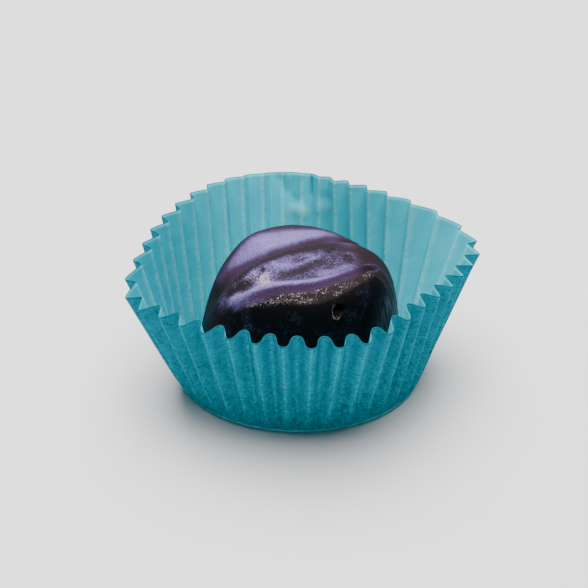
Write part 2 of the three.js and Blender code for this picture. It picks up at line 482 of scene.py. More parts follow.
@dataclass(frozen=True)
class GreaseproofPaper:
    """Thin dyed paper, deep in colour outside and pale inside (partly a painted sheen), with fibres
    that show along creases.

    A grain is the size of a noise's largest features, in millimetres. The crepe is finer up the
    wall than round it, by crepe_squeeze. The inside is darkened towards the left with painted shade;
    the left span gives the x, in metres, at which that painted shade begins and at which it is deepest.
    """

    outside: Colour = (0.0, 0.185, 0.28)
    # darker teal: painted shade low on the outer wall, and dark cloudy patches
    outside_cloudy_and_shaded: Colour = (0.0, 0.105, 0.14)
    gap: Colour = (0.0, 0.03, 0.045)
    # pale inside: partly a paler dye, partly a painted whitish sheen on the lit inner face
    inside: Colour = (0.055, 0.64, 0.75)
    # deeper teal inside: painted shade at the left and low down, and random cloudy patches
    inside_cloudy_and_shaded: Colour = (0.015, 0.5, 0.65)
    # pale teal for crease lines inside, and for painted highlights on the base edge and on crumple
    # bulges
    pale_crease_and_highlight: Colour = (0.33, 0.86, 0.92)
    through: Colour = (0.0, 0.75, 0.83)
    worn: Colour = (0.03, 0.57, 0.68)
    fibre: Colour = (0.0, 0.5, 0.62)
    thread: Colour = (0.4, 0.02, 0.25)
    cloud_grain: float = 2.6
    thread_grain: float = 2.5
    mottle_grain: float = 0.5
    crepe_grain: float = 0.45
    crepe_squeeze: float = 2.2
    crease_wander: float = 0.7
    shaded_left: Span = (-0.009, -0.022)
    relief: float = 0.05
    roughness: float = 0.6
    gloss: float = 0.03
    translucency: float = 0.24

    def material(self) -> bpy.types.Material:
        """The finish as nodes: two dyed faces with painted sheen, shade and highlights, relief, and
        light let through.

        Returns:
            The material.
        """
        tree = NodeTree("greaseproof_paper")
        grain = self.grain(tree)
        outer = self.outer_face(tree, grain)
        inner = self.inner_face(tree, grain)
        # The rim's cut edge is painted dark: painted shade that hides the light it catches from above.
        cut_edge_shade = grain.climb.rise(0.99, 0.998) * 0.8
        dye = tree.blend(cut_edge_shade, tree.blend(tree.attribute("inside"), outer, inner), self.gap)
        normal = tree.bump(grain.mottle * 0.5 + grain.crepe * 0.5, self.relief)
        front = tree.node(
            "ShaderNodeBsdfPrincipled",
            None,
            {
                "Base Color": dye,
                "Roughness": self.roughness,
                "Specular IOR Level": self.gloss,
                "Normal": normal,
            },
        )
        behind = tree.node(
            "ShaderNodeBsdfTranslucent", None, {"Color": self.through, "Normal": normal}
        )
        tree.surface(
            tree.node("ShaderNodeMixShader", None, {0: self.translucency, 1: front, 2: behind})
        )
        return tree.material

    def grain(self, tree: NodeTree) -> PaperGrain:
        """Lay out what both faces read.

        Args:
            tree: The material's nodes.

        Returns:
            The place, how high up it is, and the noises.
        """
        place = tree.place()
        climb = tree.attribute("climb")
        sheet = tree.stretched(tree.attribute("sheet_place", "Vector"), (1, 1, self.crepe_squeeze))
        mottle = tree.noise(place, self.mottle_grain, 3, 0.65)
        crepe = (tree.noise(sheet, self.crepe_grain, 2, 0.6, 0.8) - 0.5).size()
        return PaperGrain(
            place=place,
            climb=climb,
            low=climb.rise(0.92, 0.05),
            cloud=tree.noise(place, self.cloud_grain, 4, 0.6),
            mottle=mottle,
            crepe=crepe,
            strands=crepe.rise(0.06, 0.0) * mottle.rise(0.36, 0.54),
        )

    def outer_face(self, tree: NodeTree, grain: PaperGrain) -> Socket:
        """Cloudy dye with painted shade low down, crepe, worn creases, a painted highlight along the
        base edge, and red threads.

        Args:
            tree: The material's nodes.
            grain: What both faces read.

        Returns:
            The colour.
        """
        low, climb = grain.low, grain.climb
        # Painted shade: the outer wall darkens towards the base, where less light reaches; the cloud
        # adds random darker patches.
        shade = low * 0.75 + grain.cloud.rise(0.58, 0.36) * 0.4
        dye = tree.blend(shade, self.outside, self.outside_cloudy_and_shaded)
        # The crepe's gaps also deepen low down, as part of the same painted shade.
        gap_depth = low * 0.3 + grain.cloud.rise(0.6, 0.4) * 0.3 + 0.65
        dye = tree.blend(grain.crepe.rise(0.06, 0.16) * gap_depth, dye, self.gap)
        dye = tree.blend(grain.strands * (low * 0.5 + 0.5), dye, self.fibre)
        dye = tree.blend(self.wear(tree, grain), dye, self.worn)
        # A pale line round the foot of the wall: a painted highlight where the fold catches light.
        base_edge_highlight = climb.rise(-0.9, -0.7) * climb.rise(0.0, -0.2) * 0.7
        dye = tree.blend(base_edge_highlight, dye, self.pale_crease_and_highlight)
        near_crest = (tree.attribute("from_crest") + (grain.mottle - 0.5) * 0.5).rise(0.08, 0.0)
        scattered = tree.noise(grain.place, self.thread_grain, 0).rise(0.68, 0.72)
        threads = near_crest * scattered * low.rise(0.2, 0.4)
        return tree.blend(threads * 0.6, dye, self.thread)

    def wear(self, tree: NodeTree, grain: PaperGrain) -> Socket:
        """Where creases have lost their dye: frayed lines, strong outside and faint between.

        Args:
            tree: The material's nodes.
            grain: What both faces read.

        Returns:
            The share of dye that is gone.
        """
        wander = (grain.mottle - 0.5) * self.crease_wander
        crest = tree.attribute("from_crest") + wander
        hollow = tree.attribute("from_hollow") + wander
        line = crest.rise(0.13, 0.02) * (grain.mottle.rise(0.4, 0.6) * 0.5 + 0.08)
        fray = crest.rise(0.28, 0.05) * grain.strands * 0.7
        faint = hollow.rise(0.32, 0.06) * (grain.strands * 0.7 + 0.02)
        return line.at_least(fray).at_least(faint) * grain.climb.rise(0.06, 0.24)

    def inner_face(self, tree: NodeTree, grain: PaperGrain) -> Socket:
        """Pale dye, partly a painted sheen; painted shade low down and at the left; lighter ridge
        lines; painted light and shade on crumples.

        Args:
            tree: The material's nodes.
            grain: What both faces read.

        Returns:
            The colour.
        """
        x = tree.node("ShaderNodeSeparateXYZ", None, {"Vector": grain.place}, "X")
        # Painted shade: the inside darkens towards the left and low down, where less light falls; the
        # cloud adds random deeper patches.
        left = x.rise(*self.shaded_left)
        deep = grain.cloud.rise(0.4, 0.62) * 0.35 + grain.low * 0.3 + left * 0.75
        pale = tree.blend(deep, self.inside, self.inside_cloudy_and_shaded)
        ridge_line = (tree.attribute("from_hollow") + (grain.cloud - 0.5) * 0.8).rise(0.75, 0.1)
        pale = tree.blend(ridge_line * grain.mottle.rise(0.3, 0.6) * 0.5, pale, self.pale_crease_and_highlight)
        # Crumples: dents painted darker, partly painted shade and partly the doubled paper; bulges
        # painted paler, a painted highlight.
        crumple = tree.attribute("crumple")
        pale = tree.blend(crumple.rise(0.05, 1) * 0.5, pale, self.outside)
        return tree.blend(crumple.rise(-0.05, -1) * 0.6, pale, self.pale_crease_and_highlight)


class Face(Enum):
    """The paper's faces, by the way that each lies from its middle."""

    OUTER = 1
    INNER = -1


@dataclass
class PaperCase:
    """A pleated wall on a flat round base, pressed from one disc of paper.

    wall_slant is measured along the paper, and fold_reach is how far the rounded fold reaches into
    the base and up the wall. case_paper is the thickness of the solid case, in whose middle the
    thin paper lies. A tightness of 0 makes the pleats a sine wave, and nearly 1 a zigzag. rim_leans
    holds azimuths and the wall's lean there, and rim_drift the size and the zero of each wave that
    pushes the pleats round the rim. Crumples lie on the wall laid flat: across it from the pressed
    azimuth, and down from the rim.
    """

    base_radius: float = 16
    wall_slant: float = 19.3
    slant_swing: float = 0.75
    slant_azimuth: float = 106
    case_paper: float = 0.3
    paper: float = 0.11
    fold_reach: float = 0.9
    pleats: int = 40
    first_crest: float = 201.6
    fullness: float = 0.81
    crest_tightness: float = 0.97
    front_tightness: float = 0.2
    front_bulge: float = 0.05
    front_azimuth: float = 275
    front_half_width: float = 34
    corner_sharpness: float = 1.6
    rim_leans: Pairs = (
        (19, 25), (68, 12), (98, 24), (162, 11.5), (209, 24.5), (227, 22), (286, 25.5), (328, 15.5),
    )
    rim_drift: Pairs = ((1.1, 282), (5.3, 0), (1.3, 23))
    pressed_azimuth: float = 90
    pressed_half_width: float = 11
    pressed_share: float = 0.7
    pressed_growth: float = 1.5
    pleats_begin: float = -0.05
    pleats_whole: float = 0.22
    noise_radius: float = 20
    rim_radius: float = 24.3
    crumple_depth: float = 0.25
    crumples: tuple[Stroke, ...] = (
        Stroke(((-3.4, 0.1), (-2.2, 0.9), (-1.7, 2.2)), 0.75, 0.8, 0),
        Stroke(((1.8, 0), (1.9, 3.2)), 0.2, 1, 0.15),
        Stroke(((-0.9, 3.4), (-0.1, 3.7)), 0.45, 0.5, 0),
        Stroke(((3.2, 2.6), (5.2, 2.9)), 0.55, 0.45, 0.2),
        Stroke(((-1.2, 4.8), (1, 5.2)), 0.9, -0.9, 0.2),
        Stroke(((3, 4.4), (4.6, 4.2)), 0.8, -0.5, 0.2),
    )
    columns_per_pleat: int = 22
    wall_rows: int = 36
    fold_rows: int = 6
    base_rows: int = 7
    finish: GreaseproofPaper = field(default_factory=GreaseproofPaper)

    def lean(self, azimuth: np.ndarray) -> np.ndarray:
        """Lean of the wall from the vertical, in radians.

        Between two entries of rim_leans it goes by half a cosine wave, raised to corner_sharpness
        so that the corners are narrower than the hollows.

        Args:
            azimuth: Directions, in degrees.

        Returns:
            The lean in each.
        """
        starts = np.array([start for start, _ in self.rim_leans])
        leans = np.array([value for _, value in self.rim_leans])
        angle = (azimuth - starts[0]) % 360 + starts[0]
        here = np.searchsorted(starts, angle, side="right") - 1
        onward = (here + 1) % len(starts)
        end = np.where(onward == 0, starts[0] + 360, starts[onward])
        rise = 0.5 - 0.5 * np.cos(np.pi * (angle - starts[here]) / (end - starts[here]))
        corner = np.where(leans[here] > leans[onward], 1 - rise, rise) ** self.corner_sharpness
        low = np.minimum(leans[here], leans[onward])
        return np.radians(low + corner * np.abs(leans[here] - leans[onward]))

    def slant(self, azimuth: np.ndarray) -> np.ndarray:
        """Length of the wall along the paper: a mean and a two-lobed wave."""
        return self.wall_slant + self.slant_swing * np.cos(2 * np.radians(azimuth - self.slant_azimuth))

    def drift(self, azimuth: np.ndarray) -> np.ndarray:
        """How far round a pleat is pushed at the rim: a sum of three sine waves.

        Args:
            azimuth: The pleats' directions at the base, in degrees.

        Returns:
            The push, in degrees.
        """
        total = np.zeros_like(azimuth)
        for lobes, (size, zero) in enumerate(self.rim_drift, start=1):
            total += size * np.sin(lobes * np.radians(azimuth - zero))
        return total

    def pleat_wave(self, turns: np.ndarray, rounded: np.ndarray) -> np.ndarray:
        """1 at an outer crest and -1 at an inner one: arcsine of a flattened cosine.

        Args:
            turns: Pleats counted from the first crest.
            rounded: 0 where the creases are sharp, and 1 where they are rounded.

        Returns:
            The wave.
        """
        tight = self.crest_tightness + (self.front_tightness - self.crest_tightness) * rounded
        return np.arcsin(tight * np.cos(2 * np.pi * turns)) / np.arcsin(tight)

    def wall_point(self, turns: np.ndarray, climb: np.ndarray) -> np.ndarray:
        """Middle of the paper on the wall.

        What the wall's circles lose in girth becomes depth of pleat, and every line up the wall
        keeps its length. Where the pleats are rounded, a sine wave with two turns to a pleat also
        widens crests and hollows.

        Args:
            turns: Pleats counted from the first crest.
            climb: 0 at the fold, and 1 at the rim.

        Returns:
            Points, in millimetres.
        """
        base_azimuth = self.first_crest + 360 * turns / self.pleats
        rim_azimuth = (base_azimuth + self.drift(base_azimuth)) % 360
        slant = self.slant(rim_azimuth)
        lean = self.lean(rim_azimuth)
        along = slant * climb
        middle = self.base_radius + along * np.sin(lean)
        spare = np.sqrt((self.base_radius + along) ** 2 - middle**2)
        pressed = bell(rim_azimuth - self.pressed_azimuth, self.pressed_half_width)
        pressed = pressed * climb**self.pressed_growth
        begun = smooth_rise(self.pleats_begin, self.pleats_whole, climb)
        share = self.fullness * (1 - self.pressed_share * pressed) * begun
        depth = share * np.pi * spare / self.pleats
        rounded = bell(rim_azimuth - self.front_azimuth, self.front_half_width)
        out = middle - self.base_radius + depth / 2 * self.pleat_wave(turns, rounded)
        radius = self.base_radius + out
        rim_radius = self.base_radius + slant * np.sin(lean)
        bulge = self.front_bulge * 360 / self.pleats * rounded * np.sin(4 * np.pi * turns)
        moved = (self.drift(base_azimuth) * rim_radius / radius + bulge) * climb
        azimuth = np.radians(base_azimuth + moved)
        height = np.sqrt(np.maximum(along**2 - out**2, 0))
        return np.stack(
            [radius * np.cos(azimuth), radius * np.sin(azimuth), self.case_paper / 2 + height], -1
        )

    def fold_point(self, turns: np.ndarray, share: float) -> np.ndarray:
        """Middle of the paper in the fold: a quadratic Bezier curve from base to wall.

        Args:
            turns: Pleats counted from the first crest.
            share: 0 at the base, and 1 at the wall.

        Returns:
            Points, in millimetres.
        """
        climb = np.full_like(turns, self.fold_reach / self.wall_slant)
        on_wall = self.wall_point(turns, climb)
        azimuth = np.radians(self.first_crest + 360 * turns / self.pleats)
        away = np.stack([np.cos(azimuth), np.sin(azimuth), np.zeros_like(azimuth)], -1)
        level = np.array([0, 0, self.case_paper / 2])
        corner = away * self.base_radius + level
        on_base = away * (self.base_radius - self.fold_reach) + level
        return (
            (1 - share) ** 2 * on_base + 2 * share * (1 - share) * corner + share**2 * on_wall
        )

    def sheet(self) -> tuple[np.ndarray, np.ndarray, np.ndarray]:
        """The middle of the paper as rings of points, from the base's centre to the rim.

        Returns:
            The points, each ring's climb, and each ring's radius on the flat disc.
        """
        turns = self.turns()
        fold_edge = self.fold_point(turns, 0.0)
        level = np.array([0, 0, self.case_paper / 2])
        rings = []
        climbs = []
        flats = []
        for row in range(1, self.base_rows + 1):
            rings.append(level + (fold_edge - level) * (row / self.base_rows))
            climbs.append(-1.0)
            flats.append((self.base_radius - self.fold_reach) * row / self.base_rows)
        for row in range(1, self.fold_rows):
            share = row / self.fold_rows
            rings.append(self.fold_point(turns, share))
            climbs.append(share - 1)
            flats.append(self.base_radius + self.fold_reach * (2 * share - 1))
        start = self.fold_reach / self.wall_slant
        for climb in np.linspace(start, 1, self.wall_rows + 1):
            rings.append(self.wall_point(turns, np.full_like(turns, climb)))
            climbs.append(climb)
            flats.append(self.base_radius + self.wall_slant * climb)
        return np.stack(rings), np.array(climbs), np.array(flats)

    def turns(self) -> np.ndarray:
        """Pleats counted from the first crest, at each column of points."""
        return np.arange(self.pleats * self.columns_per_pleat) / self.columns_per_pleat

    def crumple(self, climbs: np.ndarray) -> np.ndarray:
        """Dents at the back, where the wall is pressed flat.

        Args:
            climbs: Each ring's climb.

        Returns:
            Above 0 in a dent and below 0 on a bulge, for each ring and column.
        """
        base_azimuth = self.first_crest + 360 * self.turns() / self.pleats
        azimuth = base_azimuth + self.drift(base_azimuth)
        turned = (self.pressed_azimuth - azimuth + 180) % 360 - 180
        across = np.radians(turned) * self.rim_radius
        down = self.wall_slant * (1 - climbs[:, None])
        return strokes(self.crumples, *np.broadcast_arrays(across, down))

    def measures(self, climbs: np.ndarray, flats: np.ndarray) -> dict[str, np.ndarray]:
        """What the finish reads, for the points of one skin.

        Args:
            climbs: Each ring's climb.
            flats: Each ring's radius on the flat disc.

        Returns:
            The climb, the distances along the paper from the nearest creases, and a place for
            noise that wraps the wall round a cylinder.
        """
        turns = self.turns()
        from_crest = np.abs(turns - np.round(turns))
        pleat_width = 2 * np.pi * flats[:, None] / self.pleats
        angle = 2 * np.pi * turns / self.pleats
        reach = self.noise_radius * np.minimum(flats / self.base_radius, 1)[:, None]
        along = np.maximum(flats - self.base_radius, 0)[:, None]
        place = np.broadcast_arrays(reach * np.cos(angle), reach * np.sin(angle), along)
        return {
            "climb": np.repeat(climbs, len(turns)),
            "crumple": self.crumple(climbs).ravel(),
            "from_crest": (from_crest * pleat_width).ravel(),
            "from_hollow": ((0.5 - from_crest) * pleat_width).ravel(),
            "sheet_place": np.stack(place, -1).reshape(-1, 3) * MM,
        }

    def build(self) -> bpy.types.Object:
        """Make the paper as a closed thin shell, with the measures that its finish reads.

        Returns:
            The case.
        """
        middle, climbs, flats = self.sheet()
        rows, columns = middle.shape[:2]
        around = np.roll(middle, -1, 1) - np.roll(middle, 1, 1)
        outward = unit(np.cross(around, np.gradient(middle, axis=0)))
        middle = middle + outward * self.crumple_depth * self.crumple(climbs)[..., None]
        skins = [middle + face.value * outward * self.paper / 2 for face in Face]
        level = self.case_paper / 2
        centres = np.array([[0, 0, level - self.paper / 2], [0, 0, level + self.paper / 2]])
        points = np.concatenate([*(skin.reshape(-1, 3) for skin in skins), centres])
        count = rows * columns
        rim = np.arange(columns) + (rows - 1) * columns
        onward = np.roll(rim, -1)
        faces = [
            grid_faces(rows, columns),
            grid_faces(rows, columns, count)[:, ::-1],
            np.stack([rim, onward, onward + count, rim + count], -1),
            cap_faces(columns, 0, 2 * count)[:, ::-1],
            cap_faces(columns, count, 2 * count + 1),
        ]
        attributes = {
            key: np.concatenate([values, values, values[:1], values[:1]])
            for key, values in self.measures(climbs, flats).items()
        }
        attributes["inside"] = np.concatenate([np.zeros(count), np.ones(count), [0, 1]])
        case = mesh_piece("fluted_paper", points, faces, attributes, self.finish.material())
        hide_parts("paper_case")
        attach(case, "root")
        return case


# ---- Truffle ----


@dataclass(frozen=True)
class DustGrain:
    """What the chocolate's layers share: noises from coarse to fine, and a violet mask."""

    place: Socket
    clouds: Socket
    grains: Socket
    fine: Socket
    specks: Socket
    tinted: Socket


@dataclass(frozen=True)
class DustedChocolate:
    """Dark chocolate with lilac lustre dust on its folds, and brown and gold flecks at the front.

    A grain is the size of a noise's largest features, in millimetres. Height is scaled by
    streak_scale where the streaks of the right side are read, which draws them out upright.
    These streaks are partly a painted reflection.
    """

    chocolate: Colour = (0.004, 0.0035, 0.004)
    cocoa: Colour = (0.018, 0.01, 0.0095)
    dusk: Colour = (0.02, 0.0135, 0.018)
    lilac: Colour = (0.148, 0.108, 0.285)
    silver: Colour = (0.36, 0.32, 0.53)
    # violet tint of dust and chocolate; in front of the crest it is partly painted shade
    violet: Colour = (0.074, 0.036, 0.096)
    # pale gold for flecks and gilt patches, and for a painted highlight behind the front edge
    gold: Colour = (0.38, 0.335, 0.33)
    blue: Colour = (0.035, 0.063, 0.115)
    # grey for the right side's streaks, partly a painted reflection of the paper on the smooth side
    slate_and_reflection: Colour = (0.09, 0.09, 0.105)
    haze_grain: float = 1.9
    cloud_grain: float = 1.6
    streak_grain: float = 0.5
    streak_scale: float = 0.12
    dust_grain: float = 0.3
    fine_grain: float = 0.15
    speck_grain: float = 0.11
    tint_share: float = 0.7
    relief: float = 0.12
    roughness: float = 0.42
    dust_roughness: float = 0.1
    dust_metal: float = 0.15
    gloss: float = 0.02

    def material(self) -> bpy.types.Material:
        """The finish as nodes: dust that thins out in grains, flecks, and a satin sheen.

        Returns:
            The material.
        """
        tree = NodeTree("dusted_chocolate")
        grain = self.grain(tree)
        dusted = self.dusted(tree, grain)
        base = tree.blend(dusted, self.bare(tree, grain), self.powder(tree, grain))
        base = tree.blend(self.gilded(tree, grain), base, self.gold)
        height = grain.clouds * 0.4 + grain.grains * 0.4 + grain.fine * 0.2
        shader = tree.node(
            "ShaderNodeBsdfPrincipled",
            None,
            {
                "Base Color": base,
                "Roughness": self.roughness + dusted * self.dust_roughness,
                "Metallic": dusted * self.dust_metal,
                "Specular IOR Level": self.gloss,
                "Normal": tree.bump(height, self.relief),
            },
        )
        tree.surface(shader)
        return tree.material

    def grain(self, tree: NodeTree) -> DustGrain:
        """Lay out what the layers share.

        Args:
            tree: The material's nodes.

        Returns:
            The place, the noises and the violet mask.
        """
        place = tree.place()
        grains = tree.noise(place, self.dust_grain, 2, 0.75)
        tint = tree.attribute("violet")
        return DustGrain(
            place=place,
            clouds=tree.noise(place, self.cloud_grain, 3, 0.65),
            grains=grains,
            fine=tree.noise(place, self.fine_grain, 1, 0.6),
            specks=tree.cells(place, self.speck_grain),
            tinted=(tint + (grains - 0.5) * 0.4 * tint.rise(0, 0.3)).rise(0.0, 1.1),
        )

    def dusted(self, tree: NodeTree, grain: DustGrain) -> Socket:
        """Where dust lies: its mask, broken up by the noises as far as the mottle mask lets them.

        Args:
            tree: The material's nodes.
            grain: What the layers share.

        Returns:
            The share of dust.
        """
        uneven = (grain.clouds - 0.5) * 0.9 + (grain.grains - 0.5) * 1.0 + (grain.fine - 0.5) * 0.7
        cover = tree.attribute("dust") + uneven * tree.attribute("mottle")
        return cover.rise(0.0, 1.0) ** 1.7

    def bare(self, tree: NodeTree, grain: DustGrain) -> Socket:
        """Chocolate between the dust: a blue film, grey streaks that are partly a painted reflection, a
        dusky top and a brown band.

        Args:
            tree: The material's nodes.
            grain: What the layers share.

        Returns:
            The colour.
        """
        haze = tree.noise(grain.place, self.haze_grain, 3, 0.7).rise(0.49, 0.68)
        film = tree.attribute("film") * haze * grain.fine.rise(0.48, 0.72)
        base = tree.blend(film, self.chocolate, self.blue)
        # Upright streaks on the right side, partly a painted reflection of the paper.
        upright = tree.stretched(grain.place, (1, 1, self.streak_scale))
        streaks = tree.noise(upright, self.streak_grain, 2, 0.6).rise(0.35, 0.65)
        base = tree.blend(tree.attribute("slate_and_reflection") * streaks, base, self.slate_and_reflection)
        base = tree.blend(tree.attribute("veil"), base, self.dusk)
        brown = tree.attribute("brown") * grain.grains.rise(0.3, 0.56)
        base = tree.blend(brown, base, self.cocoa)
        return tree.blend(grain.tinted * self.tint_share, base, self.violet)

    def powder(self, tree: NodeTree, grain: DustGrain) -> Socket:
        """The dust itself: lilac, silvery where it lies thick, and violet in places.

        Args:
            tree: The material's nodes.
            grain: What the layers share.

        Returns:
            The colour.
        """
        thick = grain.fine.rise(0.5, 0.75) * tree.attribute("dust").rise(0.5, 1)
        powder = tree.blend(thick * 0.6, self.lilac, self.silver)
        return tree.blend(grain.tinted * self.tint_share, powder, self.violet)

    def gilded(self, tree: NodeTree, grain: DustGrain) -> Socket:
        """Where gold shows: single specks in the brown band, and denser patches on the gilt marks, one
        of which is a painted highlight.

        Args:
            tree: The material's nodes.
            grain: What the layers share.

        Returns:
            The share of gold.
        """
        gilt = tree.attribute("gilt")
        flecks = grain.specks.rise(0.58, 0.76) * grain.grains.rise(0.44, 0.58)
        flecks = flecks * grain.clouds.rise(0.4, 0.6) * tree.attribute("brown").rise(0.75, 0.95) * 0.9
        patches = gilt * 0.9 + (grain.grains - 0.5) * 1.1 + (grain.specks - 0.5) * 0.8
        return flecks.at_least(patches.rise(0.4, 1.1) * gilt.rise(0, 0.3))


@dataclass(frozen=True)
class Fold:
    """A ridge along a line in plan, or a groove where its height is below 0.

    Before is how far in front of the line it lies. Ends gives the x where it begins, is whole,
    begins to fade and is gone, or is empty where it runs on over the whole top.
    """

    line: Line
    height: float
    width: float
    before: float = 0
    ends: tuple[float, ...] = ()

    def height_at(self, x: np.ndarray, y: np.ndarray) -> np.ndarray:
        """Height at places in plan: a bell across the line.

        Args:
            x: The places' x.
            y: The places' y.

        Returns:
            The height, in millimetres.
        """
        height = self.height * bell(y - curve_through(self.line, x) + self.before, self.width)
        if self.ends:
            start, whole, fading, gone = self.ends
            height = height * (smooth_rise(start, whole, x) * (1 - smooth_rise(fading, gone, x)))
        return height


@dataclass
class Truffle:
    """A dome with a flat foot, whose top is thrown into folds that meet at the left front.

    Right, back, left and front are the outline's reaches from the centre. Shoulders go round
    anticlockwise from the right, and more is squarer. Folds_start and folds_full are angles above
    the foot, and so is bubble_climb. The bubble's edge has waves of two and of three lobes, with a
    size and a turn in radians each. The lip's place and width are in bubble radii, and its strength
    is a mean with a swing to one side. Lines and marks are given in plan, and lines run from left
    to right. A glow runs along a line, and its numbers are its strength, its distance in front of
    the line and its width. A span gives where a mask begins to rise and where it is whole: in z for
    a height, in y for the nose's back, in y from the front edge for a front, and otherwise in x. The
    film's fade begins and ends in y from the front edge too. The right spot is a soft mark on the
    right side, given by its y and z.
    """

    centre: tuple[float, float] = (-0.5, 0.4)
    height: float = 17.8
    right: float = 13.8
    back: float = 11.6
    left: float = 13.1
    front: float = 13.7
    outline_squareness: float = 2.15
    shoulders: tuple[float, ...] = (4.1, 3.7, 3.5, 3.3, 2.15, 3, 5.6, 6.5)
    foot_rounding: float = 0.6
    foot_height: float = 0.6
    back_ridge: Line = ((-10.7, 1.6), (-5, 5.3), (0.8, 8.5), (6.7, 9.6))
    back_groove: Line = ((-9.5, -1.8), (-5, -0.3), (0, 2.2), (6.5, 4.8))
    front_crest: Line = ((-9.5, -7), (-2.5, -9.1), (4.6, -7.4), (9.5, -3))
    middle_streak: Line = ((-4.4, -7.1), (0.1, -4.9), (4.7, -0.6))
    long_folds: tuple[Fold, ...] = (
        Fold(back_ridge, 1.0, 1.8),
        Fold(back_groove, -0.8, 1.2),
        Fold(back_groove, 0.3, 1.3, before=3.2),
        Fold(middle_streak, -0.3, 0.9, ends=(-6, -2, 3, 6)),
        Fold(front_crest, 0.5, 0.9),
        Fold(front_crest, -0.15, 0.4, before=0.9),
    )
    folds_start: float = 28
    folds_full: float = 46
    bubble_azimuth: float = -65
    bubble_climb: float = 42
    bubble_radius: float = 0.75
    bubble_depth: float = 1.1
    bubble_reach: float = 3
    bubble_waves: Pairs = ((0.16, 1.2), (0.1, 0))
    lip_place: float = 1.12
    lip_width: float = 0.14
    lip_height: float = 0.05
    lip_mean: float = 0.55
    lip_swing: float = 0.45
    lip_turn: float = 0.35
    ridge_low: Line = ((-9.5, 1.5), (-6.5, 0.9), (-3, 1.8), (0.5, 3.8), (5, 5.8))
    ridge_high: Line = ((-9.5, 2.3), (-6.5, 4.2), (-3, 5.8), (1, 7.4), (5, 7.8))
    middle_back: Line = ((-9.5, -4.2), (-5, -3.6), (-2, -2), (2.5, -0.4), (6.5, 0.3))
    front_edge: Line = ((-9.4, -7.5), (-5.5, -9.9), (1, -11.5), (6.4, -9.2), (9.9, -4.8))
    plateau: Zone = Zone(front_crest, (-0.5, 0), middle_back, (0.7, -0.7))
    dusted_ridge: Zone = Zone(ridge_low, (-1.2, 0.4), ridge_high, (0.3, -1.3), (-10.4, -9.2), (8, 2))
    crest_line: Zone = Zone(
        front_crest, (-1.2, 0.1), front_crest, (1.2, 0.3), (-9.9, -8), (7.5, 3), 0.3
    )
    brown_band: Zone = Zone(front_edge, (-0.1, 0.2), front_crest, (-0.9, -1.2), None, (11, 9.8))
    top_height: Span = (11.5, 14)
    plateau_right: Span = (9, 6.5)
    edge_marks_front: Span = (-0.15, 0.1)
    veil_front: Span = (-0.2, 0.3)
    film_fade: Span = (-0.4, 0.2)
    film_left: Span = (-12, -9)
    film_right: Span = (0, -6)
    nose_right: Span = (-5, -7)
    nose_back: Span = (-3, -5)
    # where the right side's streaks, partly a painted reflection, begin and are whole, in x and in z
    slate_left: Span = (9, 13)
    slate_height: Span = (16, 13)
    left_end_right: Span = (-8.5, -11.5)
    left_end_height: Span = (5, 11)
    band_weaker: Span = (3, 7)
    band_loss: float = 0.14
    plateau_dust: float = 0.4
    crest_dust: float = 0.5
    ridge_dust: float = 0.9
    spot_dust: float = 0.45
    spot_violet: float = 0.7
    crest_evenness: float = 0.6
    film_faint: float = 0.45
    left_end_brown: float = 0.4
    even_mottle: float = 0.48
    ridge_low_glow: tuple[float, float, float] = (0.4, 0.6, 0.9)
    ridge_high_glow: tuple[float, float, float] = (0.5, 0.5, 1.0)
    plum_shade_band: tuple[float, float, float] = (0.7, 0.75, 0.5)
    ridge_violet_right: Span = (6, 3)
    plum_left: Span = (-8, -5)
    plum_right: Span = (9, 7)
    right_spot: tuple[float, float] = (1.5, 9)
    right_spot_size: tuple[float, float] = (2.5, 5)
    right_spot_left: Span = (12, 13)
    dust_marks: tuple[Stroke, ...] = (
        Stroke(((-3.6, -3.4), (-2.4, -4.3), (-1.2, -3.6)), 1.1, 0.35, 0.2),
        Stroke(((-1, -4.5), (1, -3), (2.8, -1.3)), 0.35, 0.3, 0.3),
        Stroke(((-2, -2.6), (0.5, -1.9), (2, -1.2)), 0.6, 0.15, 0.3),
        Stroke(((-6.2, -4.2), (-5.4, -4.6)), 0.5, 0.3, 0.3),
        Stroke(((-2.2, -7), (0, -5.6), (1.5, -4.2), (3, -2.6)), 1.1, -0.3, 0.2),
        Stroke(((6.2, -1), (6.3, -2.4)), 0.5, -0.3, 0.3),
        Stroke(((6.1, -0.95), (6.3, -1)), 0.2, -0.5, 0),
        Stroke(((2.5, -6.6), (4.5, -5.5), (6.8, -4.3)), 1.0, 0.3, 0.2),
        Stroke(((-9.2, -5.6), (-7.5, -5.9), (-6, -5.9)), 0.55, -0.5, 0.2),
        Stroke(((-9.5, -4.2), (-7.4, -4.2)), 0.9, -0.3, 0.2),
        Stroke(((-7, -5), (-5.8, -4.8)), 0.4, 0.3, 0.2),
        Stroke(((-4.6, -4.2), (-4.9, -5), (-5.4, -5.8)), 0.2, -0.6),
    )
    edge_marks: tuple[Stroke, ...] = (
        Stroke(((8.3, -4.3), (9.4, -3.4), (10.4, -2.2)), 0.22, 0.45),
        Stroke(((8.6, -5.1), (9.9, -3.9), (10.6, -2.8)), 0.2, 0.4),
        Stroke(((4.6, 4.4), (6, 3), (6.8, 1.4)), 1.2, 0.42, 0.3),
        Stroke(((-8.6, -8), (-6.5, -9.1), (-5, -10.1), (-3.5, -10.8)), 0.4, 0.35),
        Stroke(((-9.3, -6.5), (-7.8, -7), (-6, -7.6), (-4.5, -8.4)), 0.5, 0.25, 0.2),
        Stroke(((-4.4, -5.6), (-4.6, -8)), 1.3, 0.35, 0.2),
        Stroke(((-9, -0.6), (-7, -1.6), (-6, -3)), 1.4, 0.2, 0.3),
        Stroke(((1.5, 2.2), (3.5, 2.6)), 1.2, 0.12, 0.3),
    )
